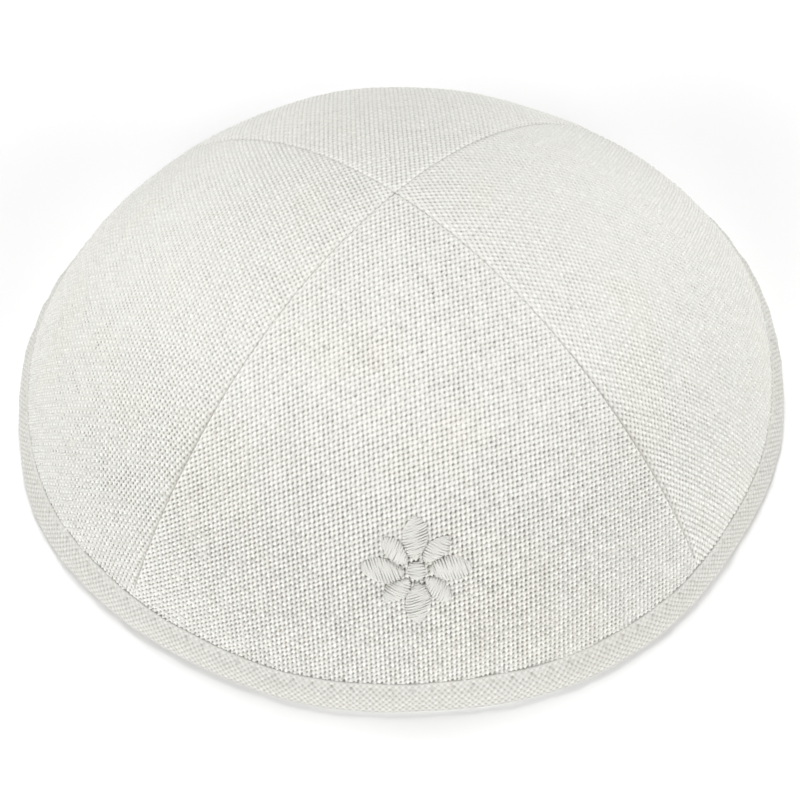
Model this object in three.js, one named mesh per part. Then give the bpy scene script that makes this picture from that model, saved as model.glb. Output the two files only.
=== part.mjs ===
// Four-panel linen skullcap, standing by itself with its rim on Z = 0.
// Four gores meet at the crown, a bias tape is folded round their lower edge, and a satin-stitch
// rosette sits low on the front gore. Millimetres, +Z up, the front gore faces -Y.
import * as THREE from "three";
import { mergeVertices } from "three/addons/utils/BufferGeometryUtils.js";

// Driving dimensions
const rimRadius = 85;
const crownHeight = 59;
const clothWall = 1.5;
const tapeWall = 0.8;
const bindingWidth = 7;
const clearance = 0.3;

// Shape of the crown's side line: 2 and 0.5 give an ellipse, more shoulder a more pointed crown
const fullness = 2.03;
const shoulder = 0.79;

// How far the plan departs from a circle, as shares of the radius, by waves round the rim
const planWaves = [
  { waves: 2, cosine: 0.028, sine: 0.001 },
  { waves: 3, cosine: -0.001, sine: 0.015 },
  { waves: 4, cosine: -0.004, sine: 0.008 },
];

// The seam: how wide each gore's edge rolls in, and how deep on the two kinds of gore
const seamRollWidth = 1.6;
const lappedRollDepth = 0.2;
const sunkRollDepth = 0.55;

// The embroidered rosette
const rosetteUp = 31.5;
const centreDiameter = 3.6;
const padHeight = 0.9;
const petalInset = 0.5;
const longPetal = { name: "rosette_long_petal", length: 8.4, width: 5, turn: 0 };
const shortPetal = { name: "rosette_short_petal", length: 6.6, width: 3.8, turn: Math.PI / 4 };
const petalsOfEachKind = 4;

// How finely the curved faces are divided
const panelColumns = 16;
const panelRows = 18;
const rimSegments = 64;
const legSteps = 4;
const petalSides = 12;
const petalRings = 8;

const quarterTurn = Math.PI / 2;
const frontAzimuth = -quarterTurn;
const panels = [
  { name: "front_panel", azimuth: frontAzimuth, roll: lappedRollDepth },
  { name: "right_panel", azimuth: frontAzimuth + quarterTurn, roll: sunkRollDepth },
  { name: "back_panel", azimuth: frontAzimuth + 2 * quarterTurn, roll: lappedRollDepth },
  { name: "left_panel", azimuth: frontAzimuth + 3 * quarterTurn, roll: sunkRollDepth },
];

const linen = { color: 0xe6e5df, roughness: 0.92, metalness: 0 };
const tapeCloth = { color: 0xe9e8e2, roughness: 0.9, metalness: 0 };
const satinThread = { color: 0xf3f3f0, roughness: 0.55, metalness: 0 };

// The outer side line of the gores, from the crown down to the rim, as radius and height
const gapUnderTape = clearance + tapeWall;
const gatheredRadius = rimRadius - gapUnderTape;

class CrownLine extends THREE.Curve {
  getPoint(t, target = new THREE.Vector2()) {
    const angle = t * quarterTurn;
    const radius = gatheredRadius * Math.sin(angle) ** (2 / fullness);
    return target.set(radius, crownHeight * Math.cos(angle) ** (2 * shoulder));
  }
}

const crownLine = new CrownLine();
crownLine.arcLengthDivisions = 600;
const crownLength = crownLine.getLength();

// A point of the round crown: so far up the wall from the rim, so far out of the gores' face.
// Behind the tape the step out turns from square to the wall to level, so that the rim is flat.
function sidePoint(up, out) {
  const share = 1 - up / crownLength;
  const foot = crownLine.getPointAt(share);
  const down = crownLine.getTangentAt(share);
  const lean = down.x * Math.min(1, up / bindingWidth);
  return new THREE.Vector2(foot.x - out * down.y, foot.y + out * lean);
}

// Moves a vertex of the round crown out or in to the cap's real plan
function toPlan(vertex) {
  const radius = Math.hypot(vertex.x, vertex.y);
  const azimuth = Math.atan2(vertex.y, vertex.x);
  const share = radius / rimRadius;
  let growth = 0;
  for (const { waves, cosine, sine } of planWaves) {
    growth += cosine * Math.cos(waves * azimuth) + sine * Math.sin(waves * azimuth);
  }
  const scale = 1 + growth * share * share;
  return vertex.set(vertex.x * scale, vertex.y * scale, vertex.z);
}

// Sends every vertex of a closed geometry through a mapping and drops the faces that it closes up
function reshape(geometry, mapping) {
  const positions = geometry.getAttribute("position");
  const vertex = new THREE.Vector3();
  for (let i = 0; i < positions.count; i += 1) {
    vertex.fromBufferAttribute(positions, i);
    const moved = toPlan(mapping(vertex));
    positions.setXYZ(i, moved.x, moved.y, moved.z);
  }
  geometry.deleteAttribute("normal");
  geometry.deleteAttribute("uv");
  const merged = mergeVertices(geometry, 1e-5);
  const corners = merged.getIndex().array;
  const kept = [];
  for (let i = 0; i < corners.length; i += 3) {
    const [a, b, c] = corners.slice(i, i + 3);
    if (a !== b && b !== c && c !== a) kept.push(a, b, c);
  }
  merged.setIndex(kept);
  merged.computeVertexNormals();
  return merged;
}

function piece(name, geometry, finish) {
  const mesh = new THREE.Mesh(geometry, new THREE.MeshStandardMaterial(finish));
  mesh.name = name;
  return mesh;
}

// One gore: a slab whose width fills a quarter of the crown and whose top closes to a corner.
// Its edges stay half a clearance from the seam, and its face rolls in along them.
function panel({ name, azimuth, roll }) {
  const cornerRadius = clearance / 2 / Math.sin(quarterTurn / 2);
  const lowest = gapUnderTape;
  const highest = crownLength - cornerRadius;
  const slab = new THREE.BoxGeometry(1, 1, 1, panelColumns, panelRows, 1);
  const geometry = reshape(slab, ({ x, y, z }) => {
    const up = lowest + (y + 0.5) * (highest - lowest);
    const column = Math.round((x + 0.5) * panelColumns);
    const atSeam = column === 0 || column === panelColumns;
    const isOuter = z > 0;
    const rolledIn = Math.min(roll, clothWall / 2);
    const out = isOuter ? (atSeam ? -rolledIn : 0) : -clothWall;
    const side = sidePoint(up, out);
    const isCorner = y > 0.499;
    const halfAngle = isCorner ? 0 : quarterTurn / 2 - Math.asin(clearance / 2 / side.x);
    const rollAngle = Math.min(seamRollWidth / side.x, halfAngle / 4);
    const inner = halfAngle - rollAngle;
    const across = (2 * (column - 1)) / (panelColumns - 2) - 1;
    const turn = atSeam ? Math.sign(x) * halfAngle : across * inner;
    const angle = azimuth + turn;
    return new THREE.Vector3(side.x * Math.cos(angle), side.x * Math.sin(angle), side.y);
  });
  return piece(name, geometry, linen);
}

// The tape's section: up the outside, over its fold, down inside the slot that holds the gores,
// up the slot's other side and down the inside of the cap to the flat face that it rests on
function bindingSection() {
  const tapeOut = gapUnderTape;
  const slotOut = clearance;
  const slotIn = -clothWall - clearance;
  const tapeIn = slotIn - tapeWall;
  const fold = tapeWall / 2;
  const section = [];
  const leg = (from, to, out) => {
    for (let step = 0; step <= legSteps; step += 1) {
      section.push(sidePoint(from + ((to - from) * step) / legSteps, out));
    }
  };
  leg(tapeWall, bindingWidth - fold, tapeOut);
  section.push(sidePoint(bindingWidth, tapeOut - fold));
  leg(bindingWidth - fold, tapeWall, slotOut);
  leg(tapeWall, bindingWidth - fold, slotIn);
  section.push(sidePoint(bindingWidth, tapeIn + fold));
  leg(bindingWidth - fold, tapeWall, tapeIn);
  section.push(sidePoint(0, tapeIn + tapeWall));
  section.push(sidePoint(0, tapeOut - tapeWall));
  section.push(section[0].clone());
  return section;
}

function binding() {
  const ring = new THREE.LatheGeometry(bindingSection(), rimSegments);
  ring.rotateX(quarterTurn);
  return piece("rim_binding", reshape(ring, (vertex) => vertex), tapeCloth);
}

// A point of the front gore: so far right of and above the rosette's middle, so far off the cloth
function onFront(right, above, off) {
  const side = sidePoint(rosetteUp + above, off);
  const angle = frontAzimuth + right / side.x;
  return new THREE.Vector3(side.x * Math.cos(angle), side.x * Math.sin(angle), side.y);
}

// A satin-stitched pad: flat where it lies on the cloth, rounded above, pointed where it is a leaf
function pad(name, length, width, along, turn, tipSharpness) {
  const ball = new THREE.SphereGeometry(1, petalSides, petalRings);
  const geometry = reshape(ball, ({ x, y, z }) => {
    const taper = Math.max(0, 1 - y * y) ** tipSharpness;
    const across = (x * taper * width) / 2;
    const outward = along + (y * length) / 2;
    const right = across * Math.cos(turn) + outward * Math.sin(turn);
    const above = outward * Math.cos(turn) - across * Math.sin(turn);
    return onFront(right, above, clearance + Math.max(0, z) * padHeight);
  });
  return piece(name, geometry, satinThread);
}

function rosette() {
  const pads = [pad("rosette_centre", centreDiameter, centreDiameter, 0, 0, 0)];
  for (const { name, length, width, turn } of [longPetal, shortPetal]) {
    const along = centreDiameter / 2 + petalInset + length / 2;
    for (let i = 0; i < petalsOfEachKind; i += 1) {
      const pointing = turn + i * quarterTurn;
      pads.push(pad(`${name}_${i + 1}`, length, width, along, pointing, 0.35));
    }
  }
  return pads;
}

const cap = new THREE.Group();
cap.add(...panels.map(panel), binding(), ...rosette());

// The origin is under the middle of the cap's box, on the surface that the rim rests on
const box = new THREE.Box3().setFromObject(cap);
const middle = box.getCenter(new THREE.Vector3());
cap.position.set(-middle.x, -middle.y, -box.min.z);
cap.updateMatrixWorld(true);

export default cap;
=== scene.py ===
"""The looks of a four-panel linen skullcap: woven gores, bias-bound rim, satin-stitch rosette.

Laid out as a Blender add-on and run as a script. Lengths are metres, +Z up, rim on Z = 0.
"""
import math

import bpy
import numpy as np
from bpy.props import FloatProperty, FloatVectorProperty, IntProperty, PointerProperty
from mathutils import Matrix, Vector


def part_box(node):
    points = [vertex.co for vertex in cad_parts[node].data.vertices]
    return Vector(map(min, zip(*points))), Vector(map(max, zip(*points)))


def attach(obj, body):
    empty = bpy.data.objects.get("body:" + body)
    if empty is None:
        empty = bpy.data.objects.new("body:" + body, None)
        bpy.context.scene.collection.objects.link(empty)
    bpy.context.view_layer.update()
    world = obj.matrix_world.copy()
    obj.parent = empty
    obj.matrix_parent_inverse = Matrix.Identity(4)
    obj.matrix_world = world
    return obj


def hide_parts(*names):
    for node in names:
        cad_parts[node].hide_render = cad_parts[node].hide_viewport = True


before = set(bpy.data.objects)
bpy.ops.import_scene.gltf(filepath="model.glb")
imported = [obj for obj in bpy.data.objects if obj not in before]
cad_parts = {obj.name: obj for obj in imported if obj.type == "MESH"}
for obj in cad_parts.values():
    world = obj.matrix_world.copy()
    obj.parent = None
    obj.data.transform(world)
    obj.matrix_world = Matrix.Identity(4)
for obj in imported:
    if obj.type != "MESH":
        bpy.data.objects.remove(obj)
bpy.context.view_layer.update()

bl_info = {
    "name": "Linen Skullcap",
    "version": (1, 0, 0),
    "blender": (4, 5, 0),
    "location": "3D View > Sidebar > Skullcap",
    "description": "Builds a four-panel linen skullcap with its weave, binding and rosette",
    "category": "Object",
}

MM = 0.001
QUARTER = math.pi / 2
WEAVE_MAP = "weave"
PRESS_MAP = "press"

# The crown's side line and plan, the same as the solid gores
FULLNESS = 2.03
SHOULDER = 0.79
PLAN_WAVES = (
    {"waves": 2, "cosine": 0.028, "sine": 0.001},
    {"waves": 3, "cosine": -0.001, "sine": 0.015},
    {"waves": 4, "cosine": -0.004, "sine": 0.008},
)

# The rim's own small unevenness, which dies out up the wall
RIM_WAVES = (
    {"waves": 8, "cosine": 0.0040, "turn": 5.18},
    {"waves": 13, "cosine": 0.0014, "turn": 1.1},
)

# The four gores. The weft leans so many degrees from the warp, the cut is turned so many degrees on
# the cloth, close lessens the painted shade in the pinholes and evens the tone, and a lapped gore
# lies over its neighbours at the seams
GORES = (
    {
        "node": "front_panel", "azimuth": -QUARTER, "lapped": True,
        "lean": 106.0, "turn": 0.0, "close": 0.0, "seed": 11,
    },
    {
        "node": "right_panel", "azimuth": 0.0, "lapped": False,
        "lean": 107.0, "turn": 4.0, "close": 0.1, "seed": 12,
    },
    {
        "node": "back_panel", "azimuth": QUARTER, "lapped": True,
        "lean": 78.0, "turn": 102.0, "close": 0.05, "seed": 13,
    },
    {
        "node": "left_panel", "azimuth": 2 * QUARTER, "lapped": False,
        "lean": 88.0, "turn": 108.0, "close": 0.0, "seed": 14,
    },
)

# Where the three rows of points of one crossing lie, in shares of the pitch
CROSSING_ROWS = np.array([-0.35, 0.0, 0.35])

# How much the size of the knuckles drifts along a yarn and jumps from one to the next, and how far
# the yarns waver sideways, in shares of a knuckle's height and of the pitch
KNUCKLE_DRIFT = 0.20
KNUCKLE_JUMP = 0.16
YARN_WAVER = 0.055

# The slow unevenness of the pressed cloth
SOFT_WAVELENGTHS = (34 * MM, 47 * MM, 71 * MM)
SOFT_HEIGHT = 0.10 * MM

# The seams: half the gap between two gores, and the ridge that the allowances raise
SEAM_GAP = 0.015 * MM
RIDGE_HEIGHT = 0.30 * MM
RIDGE_REACH = 0.9 * MM

# The inner face of a gore: its grid, how near the crown it starts and its pressed seam allowances,
# which thin out between two distances from the seam
BACK_COLUMNS = 48
BACK_ROWS = 44
BACK_TIP = 0.25 * MM
ALLOWANCE_EDGE = (5.6 * MM, 6.2 * MM)
ALLOWANCE_WALL = 0.45 * MM

# The tape's slow puckers: how many go round the rim, how they slant, how high they are
PUCKERS = (
    {"waves": 46, "slant": 5.0, "height": 0.09 * MM},
    {"waves": 71, "slant": -7.0, "height": 0.06 * MM},
    {"waves": 27, "slant": 3.0, "height": 0.07 * MM},
    {"waves": 118, "slant": 9.0, "height": 0.04 * MM},
)
TAPE_SEED = 21

# How finely the tape's plainer half, a pad's core and a satin stitch are divided
INNER_TAPE_ROWS = 44
CORE_ROWS = 25
CORE_COLUMNS = 13
STITCH_SIDES = 7
STITCH_STEPS = 11
ROSETTE_SEED = 31

# How the two cloths look: how much painted shade their pinholes get, how much brighter a knuckle's
# painted highlight makes it than its yarn, and the share of that which the weft's knuckles get
LINEN_LOOK = {"pinhole_shade_strength": 0.88, "knuckle_highlight": 1.12, "weft_gain": 0.40}
TAPE_LOOK = {"pinhole_shade_strength": 0.52, "knuckle_highlight": 1.10, "weft_gain": 0.6}

# The stage: half the floor's side, the white world's strength and the soft lamps
FLOOR_HALF = 3.0
WORLD_STRENGTH = 0.04
LAMP_AIM = (0.0, 0.0, 0.02)
LAMPS = (
    {"name": "back_softbox", "place": (0.0, 0.66, 1.01), "size": 0.5, "power": 11.4},
    {"name": "left_softbox", "place": (-1.0, -0.40, 0.36), "size": 0.5, "power": 6.3},
    {"name": "right_softbox", "place": (1.0, -0.40, 0.36), "size": 0.5, "power": 6.3},
    {"name": "front_left_softbox", "place": (-0.5, -1.0, 0.36), "size": 0.4, "power": 4.8},
    {"name": "front_right_softbox", "place": (0.5, -1.0, 0.36), "size": 0.4, "power": 4.0},
)

# The camera was solved from the outline and the seams; distance and target are in rim radii
CAMERA_ELEVATION = math.radians(52.26)
CAMERA_DISTANCE = 4.020
CAMERA_TURN = 0.0245
CAMERA_ROLL = -0.0357
CAMERA_TARGET = (-0.0062, 0.0, -0.1056)
CAMERA_LENS = 67.5
CAMERA_SENSOR = 36.0


def length(name, text, millimetres):
    """A length that a user may change, given in millimetres and kept in metres."""
    return FloatProperty(
        name=name, description=text, default=millimetres * MM, min=0.0, unit="LENGTH", precision=5
    )


def colour(name, text, value):
    """A colour that a user may change."""
    return FloatVectorProperty(
        name=name, description=text, default=value, size=4, min=0.0, max=1.0, subtype="COLOR"
    )


class SkullcapSizes(bpy.types.PropertyGroup):
    """Sizes of the cap that the looks are built from."""

    rim_radius: length("Rim radius", "Mean radius of the rim, outside the binding", 85.0)
    crown_height: length("Crown height", "Height of the gores' meeting point", 59.0)
    cloth_wall: length("Cloth", "Thickness of a gore", 1.5)
    tape_wall: length("Tape", "Thickness of the folded binding tape on each side", 0.8)
    binding_width: length("Binding width", "Width of the binding, up the wall from the rim", 7.0)
    clearance: length("Clearance", "Gap between pieces that are sewn together", 0.3)
    warp_pitch: length("Warp pitch", "Spacing of the yarns that run up the gores", 0.925)
    weft_pitch: length("Weft pitch", "Spacing of the yarns that run across the gores", 0.955)
    warp_rise: length("Warp rise", "Height of a warp knuckle over the cloth's middle", 0.26)
    weft_rise: length("Weft rise", "Height of a weft knuckle over the cloth's middle", 0.14)
    hole_depth: length("Hole depth", "Depth of the pinhole between four yarns", 0.30)
    stitch_pitch: length("Stitch pitch", "Spacing of the machine stitches in the tape", 4.1)
    stitch_inset: length("Stitch inset", "Way of the stitches from the tape's upper fold", 1.9)
    tape_pitch: length("Tape pitch", "Spacing of the yarns of the bias tape", 0.935)
    tape_rise: length("Tape rise", "Height of a knuckle of the bias tape", 0.14)
    tape_hole: length("Tape hole", "Depth of a pinhole of the bias tape", 0.17)


class RosetteSizes(bpy.types.PropertyGroup):
    """Sizes of the embroidered rosette."""

    middle_up: length("Middle", "Distance of the rosette's middle up the wall from the rim", 31.5)
    centre_diameter: length("Centre", "Diameter of the round centre pad", 3.6)
    pad_height: length("Pad height", "Height of the stitched pads over the cloth", 1.05)
    petal_inset: length("Petal inset", "Bare cloth between the centre and a petal", 0.5)
    long_length: length("Long petal", "Length of the four long petals", 8.4)
    long_width: length("Long petal width", "Width of the four long petals", 5.0)
    short_length: length("Short petal", "Length of the four short petals", 6.6)
    short_width: length("Short petal width", "Width of the four short petals", 3.8)
    thread_width: length("Thread width", "Width of one satin stitch", 0.34)
    petals_of_each_kind: IntProperty(
        name="Petals", description="How many long and how many short petals", default=4, min=1
    )


class SkullcapFinish(bpy.types.PropertyGroup):
    """Colours of the cloth, the tape, the thread and the floor."""

    linen: colour("Linen", "The gores' yarn", (0.81, 0.805, 0.77, 1.0))
    # Painted shade: the colour painted into pinholes, seam creases, needle holes and the tape's lower
    # edge
    linen_hole: colour("Linen hole", "The shade inside the pinholes", (0.30, 0.28, 0.235, 1.0))
    tape: colour("Tape", "The binding's yarn", (0.64, 0.635, 0.60, 1.0))
    thread: colour("Thread", "The embroidery thread", (0.77, 0.763, 0.72, 1.0))
    floor: colour("Floor", "The plain pale floor", (0.955, 0.955, 0.955, 1.0))


def smooth_step(low, high, value):
    """0 below low, 1 above high and a smooth slope between them."""
    share = np.clip((value - low) / (high - low), 0.0, 1.0)
    return share * share * (3.0 - 2.0 * share)


def fade_out(low, high, value):
    """1 below low, 0 above high and a smooth slope between them."""
    return 1.0 - smooth_step(low, high, value)


class Crown:
    """The cap's dome: its side line, swept round the axis and fitted to the plan."""

    def __init__(self, sizes):
        under_tape = sizes.clearance + sizes.tape_wall
        angle = np.linspace(0.0, QUARTER, 6001)
        self.radius = (sizes.rim_radius - under_tape) * np.sin(angle) ** (2 / FULLNESS)
        self.height = sizes.crown_height * np.cos(angle) ** (2 * SHOULDER)
        steps = np.hypot(np.diff(self.radius), np.diff(self.height))
        self.from_crown = np.concatenate([[0.0], np.cumsum(steps)])
        self.length = self.from_crown[-1]
        self.outwards = np.gradient(self.radius, self.from_crown)
        self.downwards = np.gradient(self.height, self.from_crown)
        self.rim_radius = sizes.rim_radius
        self.level_below = sizes.binding_width
        self.axis = self.find_axis()

    @staticmethod
    def find_axis():
        """The crown's axis, half way between the tips of the gores that face each other."""
        left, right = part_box("left_panel")[1].x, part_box("right_panel")[0].x
        front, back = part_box("front_panel")[1].y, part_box("back_panel")[0].y
        return (left + right) / 2, (front + back) / 2

    def radius_at(self, from_crown):
        return np.interp(from_crown, self.from_crown, self.radius)

    def side(self, up, out):
        """Radius and height of a point that lies so far up the wall and so far out of it."""
        from_crown = self.length - np.asarray(up)
        outwards = np.interp(from_crown, self.from_crown, self.outwards)
        downwards = np.interp(from_crown, self.from_crown, self.downwards)
        lean = outwards * np.clip(up / self.level_below, 0.0, 1.0)
        radius = np.interp(from_crown, self.from_crown, self.radius) - out * downwards
        return radius, np.interp(from_crown, self.from_crown, self.height) + out * lean

    def to_plan(self, radius, azimuth, height):
        """A point of the round crown, moved out or in to the cap's real plan."""
        growth = ripple = 0
        for wave in PLAN_WAVES:
            angle = wave["waves"] * azimuth
            growth = growth + (wave["cosine"] * np.cos(angle) + wave["sine"] * np.sin(angle))
        for wave in RIM_WAVES:
            ripple = ripple + wave["cosine"] * np.cos(wave["waves"] * (azimuth - wave["turn"]))
        share = radius / self.rim_radius
        reach = radius * (1.0 + growth * share**2 + ripple * share**10)
        x = self.axis[0] + reach * np.cos(azimuth)
        y = self.axis[1] + reach * np.sin(azimuth)
        return np.stack([x, y, height + 0.0 * x], axis=-1)

    def place(self, up, azimuth, out):
        """A point of the cap, by its way up the wall, its azimuth and its step outwards."""
        radius, height = self.side(up, out)
        return self.to_plan(radius, azimuth, height)


class Shape:
    """Points, faces and weave coordinates of one mesh, gathered from its parts."""

    def __init__(self):
        self.points = []
        self.maps = {WEAVE_MAP: [], PRESS_MAP: []}
        self.faces = []
        self.count = 0

    def add(self, points, weave, faces, press=None):
        """Weave holds yarn numbers; press holds how flat the cloth is there and how much painted shade
        it gets.
        """
        self.points.append(points.reshape(-1, 3))
        pressed = np.zeros(self.points[-1][:, :2].shape) if press is None else press
        self.maps[WEAVE_MAP].append(weave.reshape(-1, 2))
        self.maps[PRESS_MAP].append(pressed.reshape(-1, 2))
        self.faces.extend((faces + self.count).tolist())
        self.count += len(self.points[-1])

    def build(self, name, material):
        """One smooth mesh object with its weave and press coordinates in UV maps."""
        mesh = bpy.data.meshes.new(name)
        mesh.from_pydata(np.concatenate(self.points).tolist(), [], self.faces)
        corners = np.empty(len(mesh.loops), dtype=np.int32)
        mesh.loops.foreach_get("vertex_index", corners)
        for map_name, values in self.maps.items():
            layer = mesh.uv_layers.new(name=map_name)
            values = np.concatenate(values)[corners].astype(np.float32)
            layer.data.foreach_set("uv", values.ravel())
        mesh.shade_smooth()
        mesh.materials.append(material)
        piece = bpy.data.objects.new(name, mesh)
        bpy.context.scene.collection.objects.link(piece)
        return piece


def grid_faces(rows, columns, closed=False):
    """Quads of a grid whose points run row by row; closed joins the last column to the first."""
    starts = columns if closed else columns - 1
    row, column = np.meshgrid(np.arange(rows - 1), np.arange(starts), indexing="ij")
    following = (column + 1) % columns
    corners = [row * columns + column, row * columns + following]
    corners += [(row + 1) * columns + following, (row + 1) * columns + column]
    return np.stack(corners, axis=-1).reshape(-1, 4)


def drift(random, yarns, crossings, reach):
    """How each yarn wanders along its length: one row a yarn, one column a crossing."""
    loose = random.normal(size=(yarns, crossings + reach))
    sums = np.cumsum(loose, axis=1)
    return (sums[:, reach:] - sums[:, :-reach]) / math.sqrt(reach)


class Weave:
    """The gore's flat cut: yarn numbers across and up, and the way between them and the dome."""

    def __init__(self, crown, sizes, gore):
        self.crown = crown
        self.warp, self.weft = sizes.warp_pitch, sizes.weft_pitch
        self.lean = math.radians(gore["lean"])
        self.turn = math.radians(gore["turn"])

    def from_dome(self, from_crown, turn):
        radius = self.crown.radius_at(from_crown)
        angle = turn * radius / np.maximum(from_crown, 1e-6) - self.turn
        across, up = from_crown * np.sin(angle), -from_crown * np.cos(angle)
        yarn = (across * math.cos(self.lean) + up * math.sin(self.lean)) / self.weft
        return np.stack([across / self.warp, yarn], axis=-1)

    def to_dome(self, warp, weft):
        across = warp * self.warp
        up = (weft * self.weft - across * math.cos(self.lean)) / math.sin(self.lean)
        from_crown = np.hypot(across, up)
        radius = np.maximum(self.crown.radius_at(from_crown), 1e-6)
        return from_crown, (np.arctan2(across, -up) + self.turn) * from_crown / radius


def seam_limit(radius):
    """The azimuth that a gore reaches to each side of its middle: all but a hair of 45 degrees."""
    return QUARTER / 2 - SEAM_GAP / np.maximum(radius, 0.05 * MM)


def seam_depth(up, azimuth):
    """How fully a seam is rolled: least near the crown and at the back, nothing under the tape."""
    low_front = smooth_step(75 * MM, 30 * MM, up) * smooth_step(0.2, -0.4, np.sin(azimuth))
    return (0.15 + 0.85 * low_front) * smooth_step(7 * MM, 12 * MM, up)


def seam_roll(from_seam, lapped, depth):
    """How far a gore's face lies out of the dome near a seam, by its distance from the seam."""
    if lapped:
        ridge = RIDGE_HEIGHT * np.exp(-(((from_seam - RIDGE_REACH) / RIDGE_REACH) ** 2))
        edge = (0.10 + 0.65 * depth) * MM
        return ridge * depth - edge * fade_out(0.0, 0.6 * MM, from_seam)
    reach = (1.0 + 0.8 * depth) * MM
    sink = (0.05 + 0.60 * depth) * MM
    return -sink * fade_out(0.0, 1.0, from_seam / reach)


def seam_press(from_seam, lapped, depth):
    """How flat a gore's cloth is near a seam, and how much painted shade it gets there."""
    if lapped:
        flat = 0.5 * fade_out(0.0, 0.8 * MM, from_seam)
        # Painted shade: a dark line painted along the lapped edge's crease
        crease_shade = 1.3 * depth * fade_out(0.0, 0.35 * MM, from_seam)
        return flat, crease_shade
    flat = 0.4 * depth * fade_out(0.3 * MM, 1.4 * MM, from_seam)
    # Painted shade: a soft band and a dark line painted along the sunk gore's crease
    soft_shade = 0.20 * depth * fade_out(0.5 * MM, 1.6 * MM, from_seam)
    crease_shade = 1.7 * depth * fade_out(0.1 * MM, 0.60 * MM, from_seam)
    return flat, soft_shade + crease_shade


def soft_waves(random, across, up):
    """The slow unevenness of hand-pressed cloth."""
    total = 0.0
    for wavelength in SOFT_WAVELENGTHS:
        heading, start = random.uniform(0.0, 2 * math.pi, 2)
        along = across * math.cos(heading) + up * math.sin(heading)
        total = total + np.sin(2 * math.pi * along / wavelength + start)
    return total * SOFT_HEIGHT


def yarn_heights(random, warp_count, weft_count, sizes):
    """Height of each of the nine points of each crossing over the cloth's middle."""
    over = (np.add.outer(np.arange(warp_count), np.arange(weft_count)) % 2) == 0

    def knuckle_size(drifted):
        return 1.0 + KNUCKLE_DRIFT * drifted + KNUCKLE_JUMP * random.normal(size=over.shape)

    warp_size = knuckle_size(drift(random, warp_count, weft_count, 9))
    weft_size = knuckle_size(drift(random, weft_count, warp_count, 9).T)
    crest = np.where(over, sizes.warp_rise * warp_size, sizes.weft_rise * weft_size)
    slope_up = np.where(over, 0.66, 0.38) * crest
    slope_across = np.where(over, 0.30, 0.80) * crest
    hole = sizes.hole_depth * np.clip(1.0 + 0.30 * random.normal(size=over.shape), 0.3, 1.9)
    heights = np.empty((warp_count, 3, weft_count, 3))
    heights[:, 1, :, 1] = crest
    heights[:, 1, :, 0] = heights[:, 1, :, 2] = slope_up
    heights[:, 0, :, 1] = heights[:, 2, :, 1] = slope_across
    for side in (0, 2):
        for end in (0, 2):
            slanted = 1.35 if side == end else 0.65
            nearest = np.roll(hole, (-(side // 2), -(end // 2)), axis=(0, 1))
            heights[:, side, :, end] = -slanted * nearest
    return heights.reshape(3 * warp_count, 3 * weft_count), over


def yarn_range(weave, reach):
    """The lowest and the highest yarn numbers, across and up, that a gore's cut needs."""
    count = 60
    edge = np.linspace(-QUARTER / 2, QUARTER / 2, count)
    from_crown = np.linspace(0.0, reach, count)
    outline = [weave.from_dome(np.full(count, reach), edge)]
    outline += [weave.from_dome(from_crown, np.full(count, seam)) for seam in (edge[0], edge[-1])]
    outline = np.concatenate(outline)
    return np.floor(outline.min(0)).astype(int) - 1, np.ceil(outline.max(0)).astype(int) + 1


def yarn_places(random, low, high, over):
    """Yarn numbers of each of the nine points of each crossing, with the yarns' waver."""
    warp_count, weft_count = over.shape
    side_step = YARN_WAVER * drift(random, warp_count, weft_count, 5)
    up_step = YARN_WAVER * drift(random, weft_count, warp_count, 5).T
    rows = np.add.outer(np.arange(low[0], high[0] + 1), CROSSING_ROWS)
    columns = np.add.outer(np.arange(low[1], high[1] + 1), CROSSING_ROWS)
    knuckle_lean = np.where(over, 0.22, 0.10)[:, None, :, None] * CROSSING_ROWS
    warp = rows[:, :, None, None] + side_step[:, None, :, None] + knuckle_lean
    weft = columns + up_step[:, None, :, None] + 0.0 * rows[:, :, None, None]
    all_points = (3 * warp_count, 3 * weft_count)
    return warp.reshape(all_points), weft.reshape(all_points)


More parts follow.
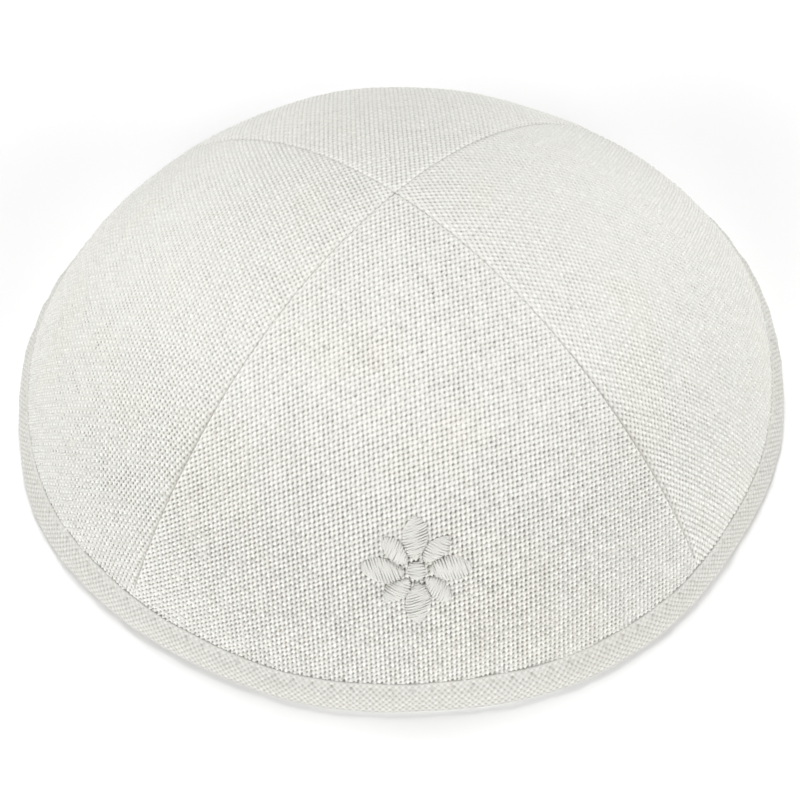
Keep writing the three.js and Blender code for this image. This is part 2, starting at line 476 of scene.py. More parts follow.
def woven_skin(shape, crown, sizes, gore):
    """The gore's outer face: every yarn crossing as nine points, cut at the seams and the tape."""
    random = np.random.default_rng(gore["seed"])
    weave = Weave(crown, sizes, gore)
    reach = crown.length - sizes.binding_width + 2.0 * MM
    low, high = yarn_range(weave, reach)
    warp_count, weft_count = (high - low + 1).tolist()
    heights, over = yarn_heights(random, warp_count, weft_count, sizes)
    warp, weft = yarn_places(random, low, high, over)

    from_crown, turn = weave.to_dome(warp, weft)
    radius = crown.radius_at(from_crown)
    limit = seam_limit(radius)
    from_seam = radius * (limit - np.abs(turn))
    from_hem = reach - from_crown
    margin = np.minimum(from_seam, from_hem)
    middle = (margin[:-1, :-1] + margin[1:, :-1] + margin[1:, 1:] + margin[:-1, 1:]) / 4
    kept = middle > 0.0
    around = np.zeros((4,) + margin.shape, dtype=bool)
    around[0, :-1, :-1] = around[1, 1:, :-1] = around[2, 1:, 1:] = around[3, :-1, 1:] = kept
    used, inner = around.any(0), around.all(0)
    rim = used & ~inner
    to_seam = rim & (from_seam <= from_hem)
    to_hem = rim & ~to_seam
    turn = np.where(to_seam, np.sign(turn) * limit, turn)
    from_crown = np.where(to_hem, reach, from_crown)
    from_seam = np.where(to_seam, 0.0, np.maximum(from_seam, 0.0))

    tall = crown.length - from_crown
    from_tape = tall - sizes.binding_width
    depth = seam_depth(tall, gore["azimuth"] + turn)
    under_tape = 0.10 * MM * smooth_step(0.0, 1.0 * MM, -from_tape)
    plump = 0.25 + 0.75 * smooth_step(0.2 * MM, 1.5 * MM, from_seam)
    slack = 1.15 - 0.40 * smooth_step(20 * MM, 65 * MM, tall)
    out = heights * plump * slack + seam_roll(from_seam, gore["lapped"], depth) - under_tape
    across, up = warp * sizes.warp_pitch, weft * sizes.weft_pitch
    out = out + soft_waves(random, across, up) * smooth_step(0.0, 12 * MM, margin)
    # Flat lessens the painted shade in the pinholes and evens the tone; shaded is the painted shade at
    # the seams
    flat, shaded = seam_press(from_seam, gore["lapped"], depth)
    # The pinholes' painted shade also thins out up the wall towards the crown
    flat = np.maximum(flat, gore["close"] + 0.45 * smooth_step(22 * MM, 68 * MM, tall))
    press = np.stack([flat, shaded], axis=-1)
    points = crown.place(tall, gore["azimuth"] + turn, out)

    numbers = np.cumsum(used.ravel()).reshape(used.shape) - 1
    row, column = np.argwhere(kept).T
    corners = ((0, 0), (1, 0), (1, 1), (0, 1))
    quads = np.stack([numbers[row + i, column + j] for i, j in corners], axis=-1)
    coordinates = np.stack([warp, weft], axis=-1)
    walk = walk_edge(quads)[::-1]
    share = outline_share(from_crown[used], turn[used], reach, limit[used], to_hem[used])[walk]
    start = shape.count
    shape.add(points[used], coordinates[used], quads, press[used])
    return start_at_least(walk + start, share)


def outline_share(from_crown, turn, reach, limit, on_hem):
    """How far round its gore's outline a point is: left seam 0 to 1, right seam to 2, hem to 3."""
    up_left = 1.0 - from_crown / reach
    down_right = 1.0 + from_crown / reach
    along_hem = 2.5 - turn / limit / 2
    return np.where(on_hem, along_hem, np.where(turn < 0.0, up_left, down_right))


def walk_edge(faces):
    """The points of a mesh's open edge, in the order that its faces pass them."""
    sides = np.stack([faces, np.roll(faces, -1, axis=1)], axis=-1).reshape(-1, 2)
    passed = set(map(tuple, sides.tolist()))
    following = {first: second for first, second in passed if (second, first) not in passed}
    start = min(following)
    walk = [start]
    while following[walk[-1]] != start:
        walk.append(following[walk[-1]])
    return np.array(walk)


def start_at_least(walk, share):
    """The same closed walk, begun at its least share, and its shares made to rise steadily."""
    turn = -int(np.argmin(share))
    walk, share = np.roll(walk, turn), np.maximum.accumulate(np.roll(share, turn))
    return walk, np.append(share, share[0] + 3.0)


def edge_wall(first, second):
    """Triangles between two closed walks round a gore, each a pair of points and shares."""
    (fine, fine_share), (coarse, coarse_share) = first, second
    i = j = 0
    faces = []
    while i < len(fine) or j < len(coarse):
        here, there = fine[i % len(fine)], coarse[j % len(coarse)]
        if j == len(coarse) or (i < len(fine) and fine_share[i + 1] <= coarse_share[j + 1]):
            i += 1
            faces.append((here, fine[i % len(fine)], there))
        else:
            j += 1
            faces.append((here, coarse[j % len(coarse)], there))
    return np.array(faces)


def plain_back(shape, crown, sizes, gore):
    """The gore's inner face with its pressed seam allowances; returns its walk and shares."""
    weave = Weave(crown, sizes, gore)
    reach = crown.length - sizes.clearance - sizes.tape_wall
    from_crown = np.linspace(reach, BACK_TIP, BACK_ROWS)[:, None]
    radius = crown.radius_at(from_crown)
    limit = seam_limit(radius)
    turns = limit * np.linspace(-1.0, 1.0, BACK_COLUMNS)
    from_crown, limit = from_crown + 0.0 * turns, limit + 0.0 * turns
    tall = crown.length - from_crown
    from_seam = radius * (limit - np.abs(turns))
    allowance = ALLOWANCE_WALL * fade_out(*ALLOWANCE_EDGE, from_seam)
    allowance = allowance * smooth_step(8 * MM, 9 * MM, tall)
    points = crown.place(tall, gore["azimuth"] + turns, -sizes.cloth_wall - allowance)
    coordinates = weave.from_dome(from_crown, turns)
    index = np.arange(turns.size).reshape(turns.shape)
    walk = np.concatenate([index[:, 0], index[-1, 1:], index[-2::-1, -1], index[0, -2:0:-1]])
    on_hem = walk < BACK_COLUMNS
    on_hem[0] = False
    from_crown, turns, limit = (values.ravel()[walk] for values in (from_crown, turns, limit))
    share = outline_share(from_crown, turns, reach, limit, on_hem)
    start = shape.count
    shape.add(points, coordinates, grid_faces(BACK_ROWS, BACK_COLUMNS)[:, ::-1])
    return start_at_least(walk + start, share)


def tape_section(crown, sizes):
    """The folded tape's closed section: radius, height, way up and way out of each point."""
    wall = sizes.tape_wall
    front = sizes.clearance + wall
    fold = 0.32 * MM
    edge_out = 0.05 * MM
    slot_back = -sizes.cloth_wall - sizes.clearance
    back = slot_back - wall
    top = sizes.binding_width - fold
    corner = 1.1 * MM
    section = []

    def arc(up, out, radius, start, stop, steps):
        for angle in np.radians(np.linspace(start, stop, steps)):
            section.append((up + radius * math.sin(angle), out + radius * math.cos(angle)))

    def leg(low, high, outs, steps):
        for share in np.linspace(0.0, 1.0, steps):
            smooth = share * share * (3.0 - 2.0 * share)
            section.append((low + (high - low) * share, outs[0] + (outs[1] - outs[0]) * smooth))

    arc(top, edge_out, fold, 185, 15, 9)
    leg(top - 0.1 * MM, 3.0 * MM, (edge_out + fold, front), 14)
    leg(2.8 * MM, corner, (front, front), 8)
    arc(corner, front - corner, corner, -10, -90, 9)
    woven_points = len(section)
    arc(corner, back + corner, corner, -90, -170, 7)
    leg(corner, top - 0.3 * MM, (back, back), 16)
    arc(top, back + wall / 2, wall / 2, 180, 0, 7)
    leg(top - 0.3 * MM, wall, (slot_back, slot_back), 8)
    leg(wall, top - 0.2 * MM, (sizes.clearance, edge_out - fold), 8)
    section = np.array(section)
    radius, height = crown.side(section[:, 0], section[:, 1])
    return np.column_stack([radius, height, section]), woven_points


def resample(line, count):
    """The points of a line, moved so that they are evenly spaced, and the line's length."""
    steps = np.concatenate([[0.0], np.cumsum(np.hypot(*np.diff(line[:, :2], axis=0).T))])
    even = np.linspace(0.0, steps[-1], count)
    return np.stack([np.interp(even, steps, column) for column in line.T], axis=-1), steps[-1]


def edge_wave(azimuth):
    """How much further up the wall the hand-guided tape reaches, by azimuth."""
    slow = 0.38 * np.cos(5 * (azimuth - math.radians(215))) + 0.16 * np.sin(3 * azimuth + 0.8)
    return (slow + 0.10 * np.sin(17 * azimuth) + 0.06 * np.sin(41 * azimuth + 2.0)) * MM


def place_tape(crown, sizes, up, out, azimuth):
    """A point of the tape, with the waver of its upper edge."""
    upper = smooth_step(2.0 * MM, sizes.binding_width, up)
    return crown.place(up + edge_wave(azimuth) * upper, azimuth, out)


def tape_ring(shape, crown, sizes):
    """The whole binding: a bias-woven outer half and a plainer inner half, closed into one ring."""
    line, woven_points = tape_section(crown, sizes)
    step = sizes.tape_pitch * math.sqrt(2) / 4
    columns = 4 * round(2 * math.pi * sizes.rim_radius / step / 4)
    outer_line = line[:woven_points]
    rows = round(resample(outer_line, 2)[1] / step) + 1
    woven_tape(shape, crown, sizes, outer_line, rows, columns)

    inner_line = np.concatenate([outer_line[-1:], line[woven_points:], outer_line[:1]])
    few = columns // 4
    start = shape.count
    plain_tape(shape, crown, sizes, inner_line, rows - 1, few)
    join_rows(shape, start - columns, columns, start, few, True)
    join_rows(shape, start - rows * columns, columns, shape.count - few, few, False)


def machine_stitches(sizes, azimuth, from_fold):
    """How fully thread covers each point of the tape, and its distance from the next needle hole."""
    stitches = round(2 * math.pi * sizes.rim_radius / sizes.stitch_pitch)
    stitch = (azimuth * stitches / (2 * math.pi) + 0.5) % 1.0 - 0.5
    from_line = from_fold - sizes.stitch_inset
    on_line = np.exp(-((from_line / (0.26 * MM)) ** 2))
    thread = on_line * smooth_step(0.10, 0.16, np.abs(stitch)) * (0.7 + 0.3 * np.sin(23 * azimuth))
    return thread, np.hypot(stitch * sizes.stitch_pitch, from_line)


def woven_tape(shape, crown, sizes, line, rows, columns):
    """The tape's outer half: its bias weave, eight points a crossing, its puckers and its stitches."""
    outer, outer_length = resample(line, rows)
    across, along = np.meshgrid(np.arange(rows), np.arange(columns), indexing="ij")
    random = np.random.default_rng(TAPE_SEED)
    azimuth = 2 * math.pi * along / columns
    down = across / (rows - 1)
    from_fold = down * outer_length
    warp, weft = (along + across) / 4, (along - across) / 4
    over = np.cos(math.pi * warp) * np.cos(math.pi * weft)
    hole = (np.sin(math.pi * warp) * np.sin(math.pi * weft)) ** 2
    size = 1.0 + 0.25 * random.normal(size=over.shape)
    relief = np.where(over > 0, 1.0, 0.8) * np.abs(over) * sizes.tape_rise * size
    relief = relief - sizes.tape_hole * hole * size
    worn = 0.30 + 0.70 * smooth_step(0.8 * MM, 2.2 * MM, from_fold)

    pucker = np.zeros(over.shape)
    for wave in PUCKERS:
        start = random.uniform(0.0, 2 * math.pi)
        angle = wave["waves"] * azimuth + wave["slant"] * down + start
        pucker = pucker + wave["height"] * np.sin(angle)
    thread, from_hole = machine_stitches(sizes, azimuth, from_fold)
    groove = 0.30 * MM * np.exp(-((from_hole / (0.42 * MM)) ** 2))
    on_floor = smooth_step(0.0, 0.8 * MM, outer[:, 1])[:, None]
    lift = (relief * worn + pucker * np.sin(math.pi * down) + 0.14 * MM * thread - groove) * on_floor
    up, out = outer[:, 2, None], outer[:, 3, None]
    turn_in = smooth_step(0.0, 0.5 * MM, from_fold)
    woven = place_tape(crown, sizes, up + 0.0 * lift, out + lift * turn_in, azimuth)
    woven[..., 2] = np.maximum(woven[..., 2], 0.0)
    flat = np.maximum(0.85 * fade_out(0.7 * MM, 2.0 * MM, from_fold), thread)
    # Painted shade: darker towards the tape's lower edge by the floor and round each needle hole
    shaded = 0.2 * smooth_step(0.90, 1.0, down) + 1.2 * np.exp(-((from_hole / (0.34 * MM)) ** 2))
    press = np.stack([flat, shaded], axis=-1)
    coordinates = np.stack([warp, weft], axis=-1)
    shape.add(woven, coordinates, grid_faces(rows, columns, closed=True), press)


def plain_tape(shape, crown, sizes, line, yarns_before, columns):
    """The tape's inner half: a plainer grid whose weave carries on from the outer half."""
    step = sizes.tape_pitch * math.sqrt(2) / 4
    inner, inner_length = resample(line, INNER_TAPE_ROWS)
    part, turn = np.meshgrid(np.arange(1, INNER_TAPE_ROWS - 1), np.arange(columns), indexing="ij")
    azimuth = 2 * math.pi * turn / columns
    plain = place_tape(crown, sizes, inner[part, 2], inner[part, 3], azimuth)
    plain[..., 2] = np.maximum(plain[..., 2], 0.0)
    carried = yarns_before + part * inner_length / (INNER_TAPE_ROWS - 1) / step
    coordinates = np.stack([(4 * turn + carried) / 4, (4 * turn - carried) / 4], axis=-1)
    shape.add(plain, coordinates, grid_faces(INNER_TAPE_ROWS - 2, columns, closed=True))


def join_rows(shape, fine_start, fine_count, coarse_start, coarse_count, fine_first):
    """Triangles between a row of many points and a row of fewer, round the whole ring."""
    ratio = fine_count // coarse_count
    for k in range(coarse_count):
        here, following = coarse_start + k, coarse_start + (k + 1) % coarse_count
        fine = [fine_start + (k * ratio + m) % fine_count for m in range(ratio + 1)]
        fans = [(here, fine[m], fine[m + 1]) for m in range(ratio)] + [(here, fine[-1], following)]
        shape.faces.extend(face[::-1] if fine_first else face for face in fans)


class Rosette:
    """Places the rosette's pads: so far right and up on the front gore, so far off its cloth."""

    def __init__(self, crown, middle_up):
        self.crown = crown
        self.middle_up = middle_up

    def place(self, right, above, off):
        up = self.middle_up + above
        radius, _ = self.crown.side(up, off)
        return self.crown.place(up, -QUARTER + right / radius, off)


def pad_outline(share, width, pointed):
    """Half width of a pad at a share of its half length: an ellipse, or a leaf if pointed."""
    return width / 2 * np.maximum(1.0 - share * share, 0.0) ** (0.85 if pointed else 0.5)


def stitched_pad(shape, rosette, pad, thread, random):
    """A low core with satin stitches laid across it, each thread a flattened tube."""
    half = pad["length"] / 2
    turn = pad["turn"]

    def put(across, along, off):
        outward = pad["along"] + along
        right = across * math.cos(turn) + outward * math.sin(turn)
        above = outward * math.cos(turn) - across * math.sin(turn)
        return rosette.place(right, above, off)

    share, across = np.meshgrid(
        np.linspace(-0.97, 0.97, CORE_ROWS), np.linspace(-0.96, 0.96, CORE_COLUMNS), indexing="ij"
    )
    rise = np.sqrt(np.maximum(1 - across**2, 0)) * np.maximum(1 - share**2, 0) ** 0.35
    core_height = (pad["height"] - thread * 0.7) * rise - 0.12 * MM
    core = put(across * pad_outline(share, pad["width"], pad["pointed"]), share * half, core_height)
    no_weave = np.zeros(core.shape[:-1] + (2,))
    shape.add(core, no_weave, grid_faces(CORE_ROWS, CORE_COLUMNS)[:, ::-1])

    stitches = round(pad["length"] / (thread * 0.86))
    around = 2 * math.pi * np.arange(STITCH_SIDES) / STITCH_SIDES
    sweep = np.linspace(-1.0, 1.0, STITCH_STEPS)
    bend = np.sqrt(np.maximum(1.0 - (0.985 * sweep) ** 2, 0.0))
    tube_faces = grid_faces(STITCH_STEPS, STITCH_SIDES, closed=True)[:, ::-1]
    first_ring = np.arange(STITCH_SIDES)
    last_ring = first_ring[::-1] + (STITCH_STEPS - 1) * STITCH_SIDES
    for k in range(stitches):
        middle = -0.97 + 1.94 * (k + 0.5) / stitches + random.normal() * 0.010
        slant = pad["slant"] * (1 if k % 2 else -1) + pad["rake"]
        reach = pad_outline(np.clip(middle, -0.99, 0.99), pad["width"], pad["pointed"])
        reach = reach + thread * (0.10 + 0.22 * random.random())
        top = pad["height"] * max(1 - middle**2, 0.02) ** 0.30
        height = (top + 0.15 * MM) * bend**0.8 - 0.15 * MM - thread * 0.30
        height = height + random.normal() * 0.018 * MM
        along = middle * half + slant * sweep * reach
        plump = thread * (0.98 + 0.10 * random.normal())
        wide = plump / 2 * np.cos(around)[None, :]
        thick = plump * 0.36 * np.sin(around)[None, :]
        tube = put((sweep * reach)[:, None] + 0.0 * wide, along[:, None] + wide, height[:, None] + thick)
        strand = np.broadcast_arrays(sweep[:, None] * 3 + 7.3 * k, around[None, :])
        start = shape.count
        shape.add(tube, np.stack(strand, axis=-1), tube_faces)
        shape.faces.extend([(start + first_ring).tolist(), (start + last_ring).tolist()])


class Nodes:
    """Builds a material's node graph in a few plain steps."""

    def __init__(self, name):
        self.material = bpy.data.materials.new(name)
        self.material.use_nodes = True
        self.tree = self.material.node_tree
        self.shader = self.tree.nodes["Principled BSDF"]

    def put(self, socket, value):
        if isinstance(value, bpy.types.NodeSocket):
            self.tree.links.new(value, socket)
        elif value is not None:
            socket.default_value = value

    def add(self, kind, inputs, **settings):
        """A new node's outputs; its inputs are given by number or by name."""
        node = self.tree.nodes.new("ShaderNode" + kind)
        for name, setting in settings.items():
            setattr(node, name, setting)
        for key, value in inputs.items():
            self.put(node.inputs[key], value)
        return node.outputs

    def maths(self, operation, first, second=None):
        return self.add("Math", {0: first, 1: second}, operation=operation)[0]

    def plus(self, first, second):
        return self.maths("ADD", first, second)

    def times(self, first, second):
        return self.maths("MULTIPLY", first, second)

    def power(self, value, exponent):
        return self.maths("POWER", value, exponent)

    def between(self, value, low, high, new_low=0.0, new_high=1.0):
        inputs = dict(enumerate((value, low, high, new_low, new_high)))
        return self.add("MapRange", inputs, interpolation_type="SMOOTHSTEP")[0]

    def mix(self, share, first, second, blend="MIX"):
        inputs = {"Factor": share, 6: first, 7: second}
        return self.add("Mix", inputs, data_type="RGBA", blend_type=blend)[2]

    def blend(self, share, first, second):
        return self.add("Mix", {0: share, 2: first, 3: second})[0]

    def map_place(self, map_name):
        place = self.add("UVMap", {}, uv_map=map_name)[0]
        split = self.add("SeparateXYZ", {0: place})
        return split[0], split[1]

    def vector(self, x, y):
        return self.add("CombineXYZ", {0: x, 1: y})[0]

    def object_place(self):
        return self.add("TexCoord", {})["Object"]

    def noise(self, place, scale, detail=2.0, roughness=0.5):
        inputs = {"Vector": place, "Scale": scale, "Detail": detail, "Roughness": roughness}
        return self.add("TexNoise", inputs)["Fac"]

    def bump(self, height, distance, strength):
        inputs = {"Strength": strength, "Distance": distance, "Height": height}
        return self.add("Bump", inputs)[0]

    def finish(self, base, normal, roughness, sheen, specular):
        """Sets the shader and returns the finished material."""
        inputs = {
            "Base Color": base, "Normal": normal, "Roughness": roughness,
            "Sheen Weight": sheen, "Sheen Roughness": 0.5, "Specular IOR Level": specular,
        }
        for name, value in inputs.items():
            self.put(self.shader.inputs[name], value)
        return self.material


def toned(tone, share):
    """A colour made darker or brighter by a share."""
    return [min(1.0, channel * share) for channel in tone[:3]] + [1.0]


def woven_cloth(name, yarn, hole_shade, pitch, pinhole_shade_strength, knuckle_highlight, weft_gain):
    """Plain-weave cloth: painted shade in the pinholes, painted highlights strongest on the warp
    knuckles, and fibres that follow each yarn.
    """
    nodes = Nodes(name)
    warp, weft = nodes.map_place(WEAVE_MAP)
    flat, shaded = nodes.map_place(PRESS_MAP)
    open_weave = nodes.maths("SUBTRACT", 1.0, flat)

    def wave(operation, value, rate):
        return nodes.maths(operation, nodes.times(value, rate * math.pi))

    # The pinholes lie between the yarns, slanted a little, and thin lines join them; all get painted
    # shade
    lean = nodes.times(wave("SINE", weft, 2), -0.045)
    leaning_warp = nodes.plus(warp, lean)
    warp_wave, weft_wave = wave("COSINE", leaning_warp, 1), wave("COSINE", weft, 1)
    over = nodes.times(warp_wave, weft_wave)
    warp_gap = nodes.maths("SUBTRACT", 1.0, nodes.times(warp_wave, warp_wave))
    weft_gap = nodes.maths("SUBTRACT", 1.0, nodes.times(weft_wave, weft_wave))
    slant = nodes.times(wave("SINE", leaning_warp, 2), wave("SINE", weft, 2))
    pinhole = nodes.plus(nodes.times(warp_gap, weft_gap), nodes.times(slant, 0.30))
    hole = nodes.plus(pinhole, nodes.times(nodes.power(weft_gap, 3.0), 0.25))

    # Fibres and thicker places run along whichever yarn is on top
    up_fibre = nodes.noise(nodes.vector(nodes.times(warp, 9.0), weft), 1.3, 3.0, 0.6)
    side_fibre = nodes.noise(nodes.vector(warp, nodes.times(weft, 9.0)), 1.3, 3.0, 0.6)
    warp_is_over = nodes.between(over, -0.15, 0.15)
    fibre = nodes.blend(warp_is_over, side_fibre, up_fibre)
    warp_slub = nodes.noise(nodes.vector(nodes.times(warp, 1.6), weft), 0.9, 1.0)
    weft_slub = nodes.noise(nodes.vector(warp, nodes.times(weft, 1.6)), 0.9, 1.0)
    slub = nodes.blend(warp_is_over, weft_slub, warp_slub)

    def knuckle_body(across_wave, along_wave):
        narrow = nodes.power(nodes.maths("ABSOLUTE", across_wave), 1.6)
        return nodes.times(narrow, nodes.power(nodes.maths("ABSOLUTE", along_wave), 0.7))

    weft_body, warp_body = knuckle_body(weft_wave, warp_wave), knuckle_body(warp_wave, weft_wave)
    body = nodes.blend(warp_is_over, weft_body, warp_body)

    slow = nodes.noise(nodes.object_place(), 38.0, 3.0, 0.55)
    # Patches where the painted pinhole shade begins sooner or later
    patch = nodes.noise(nodes.vector(warp, weft), 0.11, 3.0, 0.6)
    hole_size = nodes.noise(nodes.vector(warp, weft), 1.1, 2.0)
    hole_start = nodes.between(nodes.blend(0.35, hole_size, patch), 0.35, 0.65, 0.66, 0.34)
    # Painted shade in the pinholes and in thin lines between the wefts, where there is only shadow
    pinhole_shade = nodes.times(nodes.between(hole, hole_start, 1.0, 0.0, pinhole_shade_strength), open_weave)

    # Painted highlight: the knuckle on top gets a brighter tone, the warp's fully and the weft's by
    # weft_gain
    bright = toned(yarn, knuckle_highlight)
    thin_place = [0.86, 0.855, 0.84, 1.0]
    warm = [0.985, 0.975, 0.935, 1.0]
    tone = nodes.mix(nodes.between(fibre, 0.25, 0.8), toned(yarn, 0.88), list(yarn))
    knuckle_gain = nodes.blend(warp_is_over, weft_gain, 1.0)
    tone = nodes.mix(nodes.times(nodes.between(body, 0.15, 0.8), knuckle_gain), tone, bright)
    tone = nodes.mix(nodes.between(slub, 0.62, 0.36, 0.0, 0.75), tone, thin_place, "MULTIPLY")
    tone = nodes.mix(nodes.times(flat, 0.7), tone, toned(yarn, 0.98))
    # Where flat is near 1, on the tape's stitches, the tone is the bright one
    tone = nodes.mix(nodes.between(flat, 0.85, 1.0), tone, bright)
    tone = nodes.mix(nodes.between(slow, 0.46, 0.8, 0.0, 0.6), tone, warm, "MULTIPLY")
    # Painted shade: the pinholes' shadow painted into the tone
    tone = nodes.mix(pinhole_shade, tone, list(hole_shade))
    # Painted shade along the seams, round the needle holes and at the tape's lower edge
    tone = nodes.mix(nodes.times(shaded, 0.30), tone, list(hole_shade))

    yarn_body = nodes.times(body, open_weave)
    relief = nodes.plus(nodes.times(yarn_body, 0.5), nodes.times(fibre, 0.35))
    normal = nodes.bump(relief, pitch * 0.18, 0.65)
    return nodes.finish(tone, normal, 0.75, 0.15, 0.4)


def satin_thread(name, thread):
    """Embroidery thread: fine bright filaments along each stitch and a soft gloss."""
    nodes = Nodes(name)
    along, around = nodes.map_place(WEAVE_MAP)
    filament = nodes.noise(nodes.vector(along, nodes.times(around, 2.6)), 1.6, 3.0, 0.6)
    tone = nodes.mix(nodes.between(filament, 0.3, 0.75), toned(thread, 0.78), list(thread))
    normal = nodes.bump(filament, 0.08 * MM, 0.6)
    return nodes.finish(tone, normal, 0.42, 0.15, 0.5)


def floor_finish(name, tone):
    """A plain matt floor with a trace of unevenness."""
    nodes = Nodes(name)
    grain = nodes.noise(nodes.object_place(), 3.0, 2.0)
    return nodes.finish(nodes.mix(grain, toned(tone, 0.985), list(tone)), None, 0.9, 0.0, 0.0)


class SKULLCAP_OT_gores(bpy.types.Operator):
    """Build the four woven gores"""

    bl_idname = "skullcap.gores"
    bl_label = "Build gores"

    def execute(self, context):
        sizes, finish = context.scene.skullcap_sizes, context.scene.skullcap_finish
        crown = Crown(sizes)
        shades = (finish.linen, finish.linen_hole)
        cloth = woven_cloth("linen_cloth", *shades, sizes.warp_pitch, **LINEN_LOOK)
        for gore in GORES:
            shape = Shape()
            woven_edge = woven_skin(shape, crown, sizes, gore)
            plain_edge = plain_back(shape, crown, sizes, gore)
            shape.faces.extend(edge_wall(woven_edge, plain_edge).tolist())
            piece = shape.build(gore["node"].replace("panel", "gore"), cloth)
            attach(piece, "root")
            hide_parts(gore["node"])
        return {"FINISHED"}


class SKULLCAP_OT_binding(bpy.types.Operator):
    """Build the bias tape folded round the rim"""

    bl_idname = "skullcap.binding"
    bl_label = "Build binding"

    def execute(self, context):
        sizes, finish = context.scene.skullcap_sizes, context.scene.skullcap_finish
        crown = Crown(sizes)
        shape = Shape()
        tape_ring(shape, crown, sizes)
        shades = (finish.tape, finish.linen_hole)
        cloth = woven_cloth("bias_tape_cloth", *shades, sizes.tape_pitch, **TAPE_LOOK)
        piece = shape.build("rim_tape", cloth)
        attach(piece, "root")
        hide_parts("rim_binding")
        both_faces = resample(tape_section(crown, sizes)[0], 2)[1]
        return {"FINISHED"}


class SKULLCAP_OT_rosette(bpy.types.Operator):
    """Build the satin-stitch rosette on the front gore"""

    bl_idname = "skullcap.rosette"
    bl_label = "Build rosette"

    def execute(self, context):
        sizes, rosette = context.scene.skullcap_sizes, context.scene.skullcap_rosette
        place = Rosette(Crown(sizes), rosette.middle_up)
        thread = satin_thread("satin_thread", context.scene.skullcap_finish.thread)
        random = np.random.default_rng(ROSETTE_SEED)
        for node, pad in rosette_pads(rosette):
            shape = Shape()
            stitched_pad(shape, place, pad, rosette.thread_width, random)
            piece = shape.build(node + "_stitching", thread)
            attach(piece, "root")
            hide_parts(node)
        return {"FINISHED"}


def rosette_pads(rosette):
    """Each pad of the rosette as its node's name and its measures."""
    height, centre = rosette.pad_height, rosette.centre_diameter
    yield "rosette_centre", {
        "length": centre, "width": centre, "height": height, "along": 0.0, "turn": 0.0,
        "pointed": False, "slant": 0.04, "rake": 0.0,
    }
    kinds = (
        ("rosette_long_petal", rosette.long_length, rosette.long_width, 0.0),
        ("rosette_short_petal", rosette.short_length, rosette.short_width, QUARTER / 2),
    )
    for name, length_of, width, first_turn in kinds:
        for k in range(rosette.petals_of_each_kind):
            yield f"{name}_{k + 1}", {
                "length": length_of, "width": width, "height": height,
                "along": centre / 2 + rosette.petal_inset + length_of / 2,
                "turn": first_turn + k * 2 * math.pi / rosette.petals_of_each_kind,
                "pointed": True, "slant": 0.05, "rake": 0.32,
            }


def add_camera(crown):
    """The camera at the photograph's angle to the cap."""
    turn = Matrix.Rotation(-CAMERA_TURN, 3, "Z")
    distance = CAMERA_DISTANCE * crown.rim_radius
    away = Vector((0.0, -math.cos(CAMERA_ELEVATION), math.sin(CAMERA_ELEVATION))) * distance
    target = Vector(CAMERA_TARGET) * crown.rim_radius
    forward = (target - away).normalized()
    right = forward.cross(Vector((0.0, 0.0, 1.0))).normalized()
    upward = right.cross(forward)
    cosine, sine = math.cos(CAMERA_ROLL), math.sin(CAMERA_ROLL)
    right, upward = cosine * right + sine * upward, cosine * upward - sine * right
    axes = Matrix((right, upward, -forward)).transposed()
    middle = Vector((crown.axis[0], crown.axis[1], 0.0))
    data = bpy.data.cameras.new("photo_camera")
    data.lens = CAMERA_LENS
    data.sensor_width = CAMERA_SENSOR
    data.sensor_fit = "HORIZONTAL"
    data.clip_start = 0.01
    camera = bpy.data.objects.new("photo_camera", data)
    camera.matrix_world = Matrix.Translation(middle + turn @ away) @ (turn @ axes).to_4x4()
    bpy.context.scene.collection.objects.link(camera)
    bpy.context.scene.camera = camera


def add_lamp(name, place, size, power):
    """A square soft lamp that looks at the cap."""
    data = bpy.data.lights.new(name, "AREA")
    data.size = size
    data.energy = power
    lamp = bpy.data.objects.new(name, data)
    lamp.location = place
    lamp.rotation_euler = (Vector(LAMP_AIM) - Vector(place)).to_track_quat("-Z", "Y").to_euler()
    bpy.context.scene.collection.objects.link(lamp)


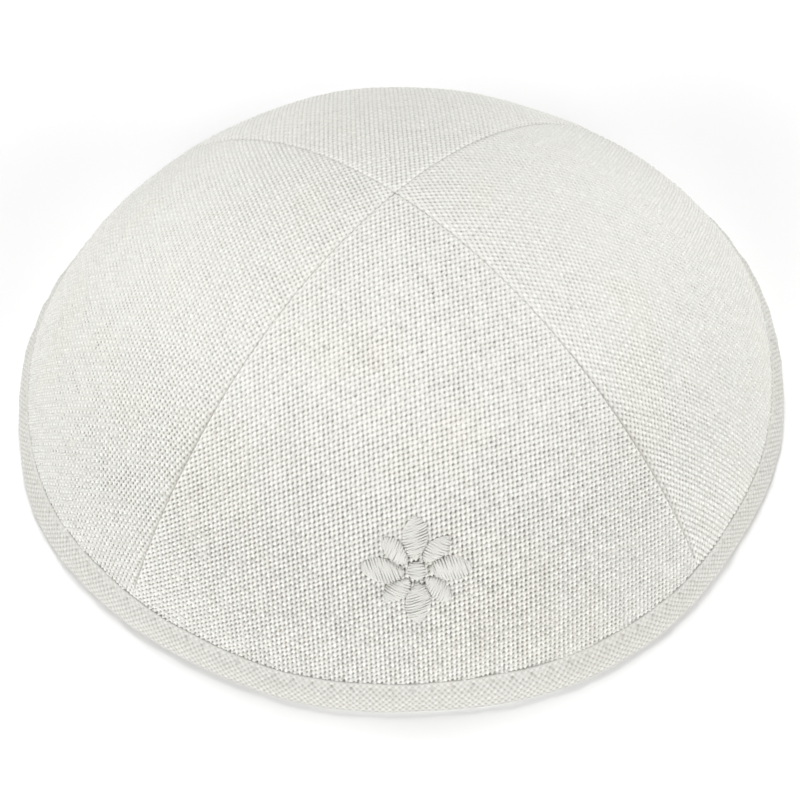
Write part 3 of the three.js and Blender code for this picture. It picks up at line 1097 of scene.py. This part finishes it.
class SKULLCAP_OT_stage(bpy.types.Operator):
    """Set up the pale floor, the soft light and the camera"""

    bl_idname = "skullcap.stage"
    bl_label = "Set up stage"

    def execute(self, context):
        sides = ((-1, -1), (1, -1), (1, 1), (-1, 1))
        corners = [(x * FLOOR_HALF, y * FLOOR_HALF, 0.0) for x, y in sides]
        mesh = bpy.data.meshes.new("floor")
        mesh.from_pydata(corners, [], [(0, 1, 2, 3)])
        mesh.materials.append(floor_finish("floor_paint", context.scene.skullcap_finish.floor))
        floor = bpy.data.objects.new("floor", mesh)
        context.scene.collection.objects.link(floor)
        for lamp in LAMPS:
            add_lamp(**lamp)
        world = bpy.data.worlds.new("studio_white")
        world.use_nodes = True
        backdrop = world.node_tree.nodes["Background"]
        backdrop.inputs["Color"].default_value = (1.0, 1.0, 1.0, 1.0)
        backdrop.inputs["Strength"].default_value = WORLD_STRENGTH
        context.scene.world = world
        context.scene.view_settings.view_transform = "Standard"
        add_camera(Crown(context.scene.skullcap_sizes))
        return {"FINISHED"}


class SKULLCAP_PT_sidebar(bpy.types.Panel):
    """The skullcap's steps and sizes in the 3D view's sidebar"""

    bl_idname = "SKULLCAP_PT_sidebar"
    bl_label = "Linen Skullcap"
    bl_space_type = "VIEW_3D"
    bl_region_type = "UI"
    bl_category = "Skullcap"

    def draw(self, context):
        for operator in OPERATORS:
            self.layout.operator(operator.bl_idname)
        for name in PROPERTY_GROUPS:
            group = getattr(context.scene, name)
            box = self.layout.box()
            for key in group.__annotations__:
                box.prop(group, key)


OPERATORS = (SKULLCAP_OT_gores, SKULLCAP_OT_binding, SKULLCAP_OT_rosette, SKULLCAP_OT_stage)
PROPERTY_GROUPS = {
    "skullcap_sizes": SkullcapSizes,
    "skullcap_rosette": RosetteSizes,
    "skullcap_finish": SkullcapFinish,
}
CLASSES = (*PROPERTY_GROUPS.values(), *OPERATORS, SKULLCAP_PT_sidebar)


def register():
    for cls in CLASSES:
        bpy.utils.register_class(cls)
    for name, group in PROPERTY_GROUPS.items():
        setattr(bpy.types.Scene, name, PointerProperty(type=group))


def unregister():
    for name in PROPERTY_GROUPS:
        delattr(bpy.types.Scene, name)
    for cls in reversed(CLASSES):
        bpy.utils.unregister_class(cls)


def main():
    register()
    bpy.ops.skullcap.stage()
    bpy.ops.skullcap.gores()
    bpy.ops.skullcap.binding()
    bpy.ops.skullcap.rosette()


if __name__ == "__main__":
    main()
